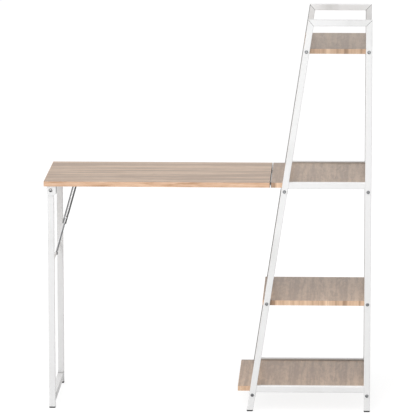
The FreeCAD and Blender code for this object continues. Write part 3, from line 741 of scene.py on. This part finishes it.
def crown_shade(tree, place):
    """1 on the upper part of a pivot bolt's head, where the highlight is painted."""
    height = axes(tree, place)["Z"]
    return soft_step(tree, height, head_middle - crown_fade_half, head_middle + crown_fade_half)


bracket_coat = white_coat("white_coat_edge_shaded", (bracket_edge_shade, bracket_edge_painted_shade))
give(["front_leg_bracket", "back_leg_bracket"], bracket_coat)
give(["leg_bracket_screws"], bright_zinc)
give(["leg_pivot_bolts"], plated("pivot_bolt_steel", pivot_painted_shade, bolt_dark, (crown_shade, crown_painted_highlight)))


# Folding stay: a zinc-plated pressed channel and a flat arm that folds into it, on rivets. The plating
# is bright on the channel's flat back, with a painted dark reflection along its right bend and a little
# less dark one along its left one. The arm is dark, with a painted highlight along its left edge.

# Painted dark reflection along the channel's bends.
bend_painted_reflection = (0.085, 0.085, 0.085, 1.0)
channel_bright = (0.70, 0.70, 0.70, 1.0)
channel_dull = (0.56, 0.56, 0.56, 1.0)
channel_flat_half = 0.0004
channel_bend_half = 0.0023
left_bend_share = 0.8
arm_bright = (0.22, 0.22, 0.225, 1.0)
arm_dull = (0.14, 0.14, 0.145, 1.0)
# Painted highlight along the arm's left edge.
arm_painted_highlight = (0.66, 0.66, 0.665, 1.0)
arm_dark_side = 0.0004
arm_highlight_side = 0.0018
joint_places = {joint["name"]: Vector(joint["pos_m"]) for joint in frame["joints"]}
stay_pivot = joint_places["stay_swing"]
stay_knee = joint_places["stay_knee"]
rod_low, rod_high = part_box("stay_rod")
rod_middle = (rod_low + rod_high) / 2


def left_of_line(tree, place, start, end):
    """How far a point is to the left of the line between two pivots, square to it in the fold's plane."""
    run = (end - start).normalized()
    square_to_run = Vector((run.z, 0.0, -run.x))
    from_start = put(tree, "ShaderNodeVectorMath", {0: place, 1: start}, operation="SUBTRACT").outputs[0]
    return put(tree, "ShaderNodeVectorMath", {0: from_start, 1: square_to_run},
               operation="DOT_PRODUCT").outputs["Value"]


def bend_shade(tree, place):
    """1 on the channel's right bend and a share of it on the left one: the painted reflection."""
    left = left_of_line(tree, place, stay_pivot, stay_knee)
    left_bend = soft_step(tree, left, channel_flat_half, channel_bend_half, 0.0, left_bend_share)
    right_bend = soft_step(tree, left, -channel_flat_half, -channel_bend_half)
    return math_of(tree, "MAXIMUM", left_bend, right_bend)


def arm_shade(tree, place):
    """1 along the arm's left edge, where the highlight is painted."""
    return soft_step(tree, left_of_line(tree, place, stay_knee, rod_middle), arm_dark_side, arm_highlight_side)


channel_zinc = plated("zinc_channel", channel_bright, channel_dull, (bend_shade, bend_painted_reflection),
                      smooth=0.26, scratched=0.45)
give(["stay_upper_arm"], channel_zinc)
give(["stay_lower_arm"], plated("zinc_arm", arm_bright, arm_dull, (arm_shade, arm_painted_highlight)))
give(["stay_bracket", "stay_bracket_screws", "stay_pivot_rivet", "stay_knee_rivet",
      "stay_eye_pin"], bright_zinc)


# Seam hinges: two butt hinges of zinc-plated steel under the seam. One leaf is screwed up into the
# desk shelf and the other into the desktop, and a plain pin joins them.

give(["hinge_fixed_leaves", "hinge_pins", "hinge_fixed_screws", "hinge_moving_leaves",
      "hinge_moving_screws"], bright_zinc)


# Studio: a white sheet for a floor, which shows the desk's faint soft shadow, and white all round. A
# wide soft box stands in front, a broad soft light comes from above, and a weak one from behind.

plain_white = (1.0, 1.0, 1.0, 1.0)
world_light = 0.34
world_shown = 1.0
floor_radius = 60.0
floor_sides = 96
floor_drop = 0.0005
floor_bounce = (0.7, 0.7, 0.7, 1.0)
floor_shown = (0.2, 0.2, 0.2, 1.0)
floor_glow = 0.885


def seen_or_mirrored(tree):
    """1 for rays from the camera and for rays that a gloss or a glass sends on."""
    path = put(tree, "ShaderNodeLightPath").outputs
    gloss = math_of(tree, "MAXIMUM", path["Is Camera Ray"], path["Is Glossy Ray"])
    return math_of(tree, "MAXIMUM", gloss, path["Is Transmission Ray"])


world = bpy.data.worlds.new("white_studio")
scene.world = world
tree = empty_tree(world)
lit = put(tree, "ShaderNodeBackground", {"Color": plain_white, "Strength": world_light})
white = put(tree, "ShaderNodeBackground", {"Color": plain_white, "Strength": world_shown})
mix = put(tree, "ShaderNodeMixShader", {0: seen_or_mirrored(tree), 1: lit.outputs[0], 2: white.outputs[0]})
put(tree, "ShaderNodeOutputWorld", {"Surface": mix.outputs[0]})

clear_selection()
bpy.ops.mesh.primitive_circle_add(vertices=floor_sides, radius=floor_radius, fill_type="NGON",
                                  location=(0.0, 0.0, -floor_drop))
floor = bpy.context.object
floor.name = "studio_floor"
white_sheet = bpy.data.materials.new("white_sheet")
tree = empty_tree(white_sheet)
bounce = put(tree, "ShaderNodeBsdfDiffuse", {"Color": floor_bounce})
shown = put(tree, "ShaderNodeBsdfDiffuse", {"Color": floor_shown})
glow = put(tree, "ShaderNodeEmission", {"Color": plain_white, "Strength": floor_glow})
pale = put(tree, "ShaderNodeAddShader", {0: shown.outputs[0], 1: glow.outputs[0]})
mix = put(tree, "ShaderNodeMixShader", {0: seen_or_mirrored(tree), 1: bounce.outputs[0], 2: pale.outputs[0]})
put(tree, "ShaderNodeOutputMaterial", {"Surface": mix.outputs[0]})
floor.data.materials.append(white_sheet)


def studio_light(name, kind, place, target, power, size=None, angle=None, mirrored=True):
    """A soft box, or a broad distant light, from place towards target; mirrored lets gloss show it."""
    data = bpy.data.lights.new(name, kind)
    data.energy = power
    if size:
        data.shape = "SQUARE"
        data.size = size
    if angle:
        data.angle = angle
    lamp = bpy.data.objects.new(name, data)
    lamp.location = place
    lamp.rotation_euler = (Vector(target) - Vector(place)).to_track_quat("-Z", "Y").to_euler()
    lamp.visible_glossy = mirrored
    scene.collection.objects.link(lamp)


studio_light("front_box", "AREA", place=(-0.2, -2.7, 1.15), target=(0.0, 0.0, 0.7), power=26.0, size=1.8)
studio_light("sky_light", "SUN", place=(-1.4, -1.9, 4.0), target=(0.0, 0.0, 0.6), power=1.65,
             angle=math.radians(55))
studio_light("back_box", "AREA", place=(0.9, 3.4, 2.0), target=(0.0, 0.0, 0.7), power=26.0, size=2.0,
             mirrored=False)


# Camera: a long lens about twelve metres in front of the desk, a little above it and to the right. Its
# place, its turn and its lens were fitted to edges and bolts that the photograph shows.

camera_place = (0.46364, -12.05945, 2.77238)
camera_turn = 0.03885
camera_pitch = 0.17561
camera_roll = -0.0009
camera_lens = 323.65
camera_far = 200.0

lens = bpy.data.cameras.new("photo_camera")
lens.sensor_fit = "HORIZONTAL"
lens.lens = camera_lens
lens.clip_end = camera_far
camera = bpy.data.objects.new("photo_camera", lens)
camera.location = camera_place
aim = Matrix.Rotation(camera_turn, 4, "Z") @ Matrix.Rotation(math.pi / 2 - camera_pitch, 4, "X")
camera.rotation_euler = (aim @ Matrix.Rotation(camera_roll, 4, "Z")).to_euler()
scene.collection.objects.link(camera)
scene.camera = camera
scene.view_settings.view_transform = "Standard"
